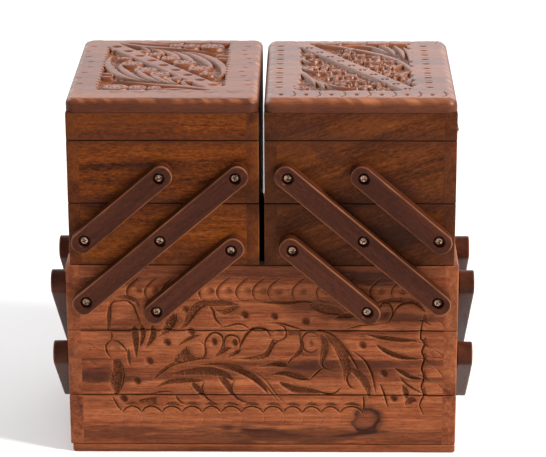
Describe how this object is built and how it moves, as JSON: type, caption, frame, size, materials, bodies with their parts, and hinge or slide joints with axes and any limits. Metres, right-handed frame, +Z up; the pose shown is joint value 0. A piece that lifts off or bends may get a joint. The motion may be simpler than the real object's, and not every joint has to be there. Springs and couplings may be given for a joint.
{
  "type": "sewing box with trays",
  "caption": "Carved wooden cantilever sewing box: stacked trays on swinging arms spread sideways and backwards; the upper stacks have hinged lids.",
  "frame": {"origin": "centre of the resting face, under the middle of the box", "axes": "+X to the right seen from the carved front, +Y to the back, +Z up"},
  "size_m": [0.331, 0.206, 0.2917],
  "materials": {
    "carved_board": "oiled sheesham, hand carved, satin",
    "upper_board": "oiled sheesham with dark streaks, satin",
    "side_board": "oiled sheesham, satin",
    "inner_floor": "thin sheesham board, matt",
    "bottom_board": "oiled sheesham, satin",
    "arm": "oiled sheesham, satin, edges rubbed bright",
    "lid_board": "carved and lacquered sheesham, semi-gloss",
    "screw": "browned steel",
    "hinge": "aged brass"
  },
  "bodies": {
    "base": {"base_front": "carved_board", "base_back": "side_board", "base_sides": "side_board", "base_floor": "bottom_board", "base_screws": "screw"},
    "lower_tray": {"lower_tray_front": "carved_board", "lower_tray_back": "side_board", "lower_tray_sides": "side_board", "lower_tray_floor": "inner_floor", "lower_tray_screws": "screw"},
    "carrier_tray": {"carrier_tray_front": "carved_board", "carrier_tray_back": "side_board", "carrier_tray_sides": "side_board", "carrier_tray_floor": "inner_floor", "carrier_tray_screws": "screw"},
    "left_side_arm_long": {"left_side_arm_long": "arm"},
    "left_side_arm_low": {"left_side_arm_low": "arm"},
    "left_side_arm_high": {"left_side_arm_high": "arm"},
    "right_side_arm_long": {"right_side_arm_long": "arm"},
    "right_side_arm_low": {"right_side_arm_low": "arm"},
    "right_side_arm_high": {"right_side_arm_high": "arm"},
    "left_front_arm_long": {"left_front_arm_long": "arm"},
    "left_front_arm_low": {"left_front_arm_low": "arm"},
    "left_front_arm_high": {"left_front_arm_high": "arm"},
    "left_back_arm_long": {"left_back_arm_long": "arm"},
    "left_back_arm_low": {"left_back_arm_low": "arm"},
    "left_back_arm_high": {"left_back_arm_high": "arm"},
    "right_front_arm_long": {"right_front_arm_long": "arm"},
    "right_front_arm_low": {"right_front_arm_low": "arm"},
    "right_front_arm_high": {"right_front_arm_high": "arm"},
    "right_back_arm_long": {"right_back_arm_long": "arm"},
    "right_back_arm_low": {"right_back_arm_low": "arm"},
    "right_back_arm_high": {"right_back_arm_high": "arm"},
    "left_middle_tray": {"left_middle_tray_walls": "upper_board", "left_middle_tray_floor": "inner_floor", "left_middle_tray_screws": "screw"},
    "left_top_tray": {"left_top_tray_walls": "upper_board", "left_top_tray_floor": "inner_floor", "left_top_tray_screws": "screw", "left_hinge_tray_leaves": "hinge", "left_hinge_pins": "hinge", "left_hinge_tray_screws": "hinge"},
    "left_lid": {"left_lid_panel": "lid_board", "left_lid_frame": "upper_board", "left_hinge_lid_leaves": "hinge", "left_hinge_lid_screws": "hinge"},
    "right_middle_tray": {"right_middle_tray_walls": "upper_board", "right_middle_tray_floor": "inner_floor", "right_middle_tray_screws": "screw"},
    "right_top_tray": {"right_top_tray_walls": "upper_board", "right_top_tray_floor": "inner_floor", "right_top_tray_screws": "screw", "right_hinge_tray_leaves": "hinge", "right_hinge_pins": "hinge", "right_hinge_tray_screws": "hinge"},
    "right_lid": {"right_lid_panel": "lid_board", "right_lid_frame": "upper_board", "right_hinge_lid_leaves": "hinge", "right_hinge_lid_screws": "hinge"}
  },
  "joints": [
    {"name": "lower_stack_open", "type": "hinge", "parent": "base", "child": "left_side_arm_long", "pos_m": [-0.1595, 0.065, 0.0287], "axis": [-1, 0, 0], "range_deg": [0, 102.58]},
    {"name": "lower_tray_level", "type": "hinge", "parent": "left_side_arm_long", "child": "lower_tray", "pos_m": [-0.1595, -0.003, 0.0832], "axis": [-1, 0, 0], "range_deg": [-102.58, 0]},
    {"name": "carrier_tray_level", "type": "hinge", "parent": "left_side_arm_long", "child": "carrier_tray", "pos_m": [-0.1595, -0.071, 0.1377], "axis": [-1, 0, 0], "range_deg": [-102.58, 0]},
    {"name": "right_side_arm_long_turn", "type": "hinge", "parent": "base", "child": "right_side_arm_long", "pos_m": [0.1595, 0.065, 0.0287], "axis": [-1, 0, 0], "range_deg": [0, 102.58]},
    {"name": "left_side_arm_low_turn", "type": "hinge", "parent": "base", "child": "left_side_arm_low", "pos_m": [-0.1595, -0.003, 0.023], "axis": [-1, 0, 0], "range_deg": [0, 102.58]},
    {"name": "left_side_arm_high_turn", "type": "hinge", "parent": "lower_tray", "child": "left_side_arm_high", "pos_m": [-0.1595, 0.065, 0.0875], "axis": [-1, 0, 0], "range_deg": [0, 102.58]},
    {"name": "right_side_arm_low_turn", "type": "hinge", "parent": "base", "child": "right_side_arm_low", "pos_m": [0.1595, -0.003, 0.023], "axis": [-1, 0, 0], "range_deg": [0, 102.58]},
    {"name": "right_side_arm_high_turn", "type": "hinge", "parent": "lower_tray", "child": "right_side_arm_high", "pos_m": [0.1595, 0.065, 0.0875], "axis": [-1, 0, 0], "range_deg": [0, 102.58]},
    {"name": "left_stack_open", "type": "hinge", "parent": "carrier_tray", "child": "left_front_arm_long", "pos_m": [-0.136, -0.097, 0.1316], "axis": [0, -1, 0], "range_deg": [0, 98.02]},
    {"name": "left_middle_tray_level", "type": "hinge", "parent": "left_front_arm_long", "child": "left_middle_tray", "pos_m": [-0.078, -0.097, 0.182], "axis": [0, -1, 0], "range_deg": [-98.02, 0]},
    {"name": "left_top_tray_level", "type": "hinge", "parent": "left_front_arm_long", "child": "left_top_tray", "pos_m": [-0.02, -0.097, 0.2324], "axis": [0, -1, 0], "range_deg": [-98.02, 0]},
    {"name": "left_back_arm_long_turn", "type": "hinge", "parent": "carrier_tray", "child": "left_back_arm_long", "pos_m": [-0.136, 0.097, 0.1316], "axis": [0, -1, 0], "range_deg": [0, 98.02]},
    {"name": "left_front_arm_low_turn", "type": "hinge", "parent": "carrier_tray", "child": "left_front_arm_low", "pos_m": [-0.0815, -0.097, 0.124], "axis": [0, -1, 0], "range_deg": [0, 98.02]},
    {"name": "left_front_arm_high_turn", "type": "hinge", "parent": "left_middle_tray", "child": "left_front_arm_high", "pos_m": [-0.136, -0.097, 0.182], "axis": [0, -1, 0], "range_deg": [0, 98.02]},
    {"name": "left_back_arm_low_turn", "type": "hinge", "parent": "carrier_tray", "child": "left_back_arm_low", "pos_m": [-0.0815, 0.097, 0.124], "axis": [0, -1, 0], "range_deg": [0, 98.02]},
    {"name": "left_back_arm_high_turn", "type": "hinge", "parent": "left_middle_tray", "child": "left_back_arm_high", "pos_m": [-0.136, 0.097, 0.182], "axis": [0, -1, 0], "range_deg": [0, 98.02]},
    {"name": "left_lid_open", "type": "hinge", "parent": "left_top_tray", "child": "left_lid", "pos_m": [-0.1499, 0, 0.259], "axis": [0, -1, 0], "range_deg": [0, 180]},
    {"name": "right_stack_open", "type": "hinge", "parent": "carrier_tray", "child": "right_front_arm_long", "pos_m": [0.136, -0.097, 0.1316], "axis": [0, 1, 0], "range_deg": [0, 98.02]},
    {"name": "right_middle_tray_level", "type": "hinge", "parent": "right_front_arm_long", "child": "right_middle_tray", "pos_m": [0.078, -0.097, 0.182], "axis": [0, 1, 0], "range_deg": [-98.02, 0]},
    {"name": "right_top_tray_level", "type": "hinge", "parent": "right_front_arm_long", "child": "right_top_tray", "pos_m": [0.02, -0.097, 0.2324], "axis": [0, 1, 0], "range_deg": [-98.02, 0]},
    {"name": "right_back_arm_long_turn", "type": "hinge", "parent": "carrier_tray", "child": "right_back_arm_long", "pos_m": [0.136, 0.097, 0.1316], "axis": [0, 1, 0], "range_deg": [0, 98.02]},
    {"name": "right_front_arm_low_turn", "type": "hinge", "parent": "carrier_tray", "child": "right_front_arm_low", "pos_m": [0.0815, -0.097, 0.124], "axis": [0, 1, 0], "range_deg": [0, 98.02]},
    {"name": "right_front_arm_high_turn", "type": "hinge", "parent": "right_middle_tray", "child": "right_front_arm_high", "pos_m": [0.136, -0.097, 0.182], "axis": [0, 1, 0], "range_deg": [0, 98.02]},
    {"name": "right_back_arm_low_turn", "type": "hinge", "parent": "carrier_tray", "child": "right_back_arm_low", "pos_m": [0.0815, 0.097, 0.124], "axis": [0, 1, 0], "range_deg": [0, 98.02]},
    {"name": "right_back_arm_high_turn", "type": "hinge", "parent": "right_middle_tray", "child": "right_back_arm_high", "pos_m": [0.136, 0.097, 0.182], "axis": [0, 1, 0], "range_deg": [0, 98.02]},
    {"name": "right_lid_open", "type": "hinge", "parent": "right_top_tray", "child": "right_lid", "pos_m": [0.1499, 0, 0.259], "axis": [0, 1, 0], "range_deg": [0, 180]}
  ],
  "couplings": [
    {"joint": "lower_tray_level", "follows": "lower_stack_open", "ratio": -1},
    {"joint": "carrier_tray_level", "follows": "lower_stack_open", "ratio": -1},
    {"joint": "right_side_arm_long_turn", "follows": "lower_stack_open", "ratio": 1},
    {"joint": "left_side_arm_low_turn", "follows": "lower_stack_open", "ratio": 1},
    {"joint": "left_side_arm_high_turn", "follows": "lower_stack_open", "ratio": 1},
    {"joint": "right_side_arm_low_turn", "follows": "lower_stack_open", "ratio": 1},
    {"joint": "right_side_arm_high_turn", "follows": "lower_stack_open", "ratio": 1},
    {"joint": "left_middle_tray_level", "follows": "left_stack_open", "ratio": -1},
    {"joint": "left_top_tray_level", "follows": "left_stack_open", "ratio": -1},
    {"joint": "left_back_arm_long_turn", "follows": "left_stack_open", "ratio": 1},
    {"joint": "left_front_arm_low_turn", "follows": "left_stack_open", "ratio": 1},
    {"joint": "left_front_arm_high_turn", "follows": "left_stack_open", "ratio": 1},
    {"joint": "left_back_arm_low_turn", "follows": "left_stack_open", "ratio": 1},
    {"joint": "left_back_arm_high_turn", "follows": "left_stack_open", "ratio": 1},
    {"joint": "right_middle_tray_level", "follows": "right_stack_open", "ratio": -1},
    {"joint": "right_top_tray_level", "follows": "right_stack_open", "ratio": -1},
    {"joint": "right_back_arm_long_turn", "follows": "right_stack_open", "ratio": 1},
    {"joint": "right_front_arm_low_turn", "follows": "right_stack_open", "ratio": 1},
    {"joint": "right_front_arm_high_turn", "follows": "right_stack_open", "ratio": 1},
    {"joint": "right_back_arm_low_turn", "follows": "right_stack_open", "ratio": 1},
    {"joint": "right_back_arm_high_turn", "follows": "right_stack_open", "ratio": 1}
  ]
}
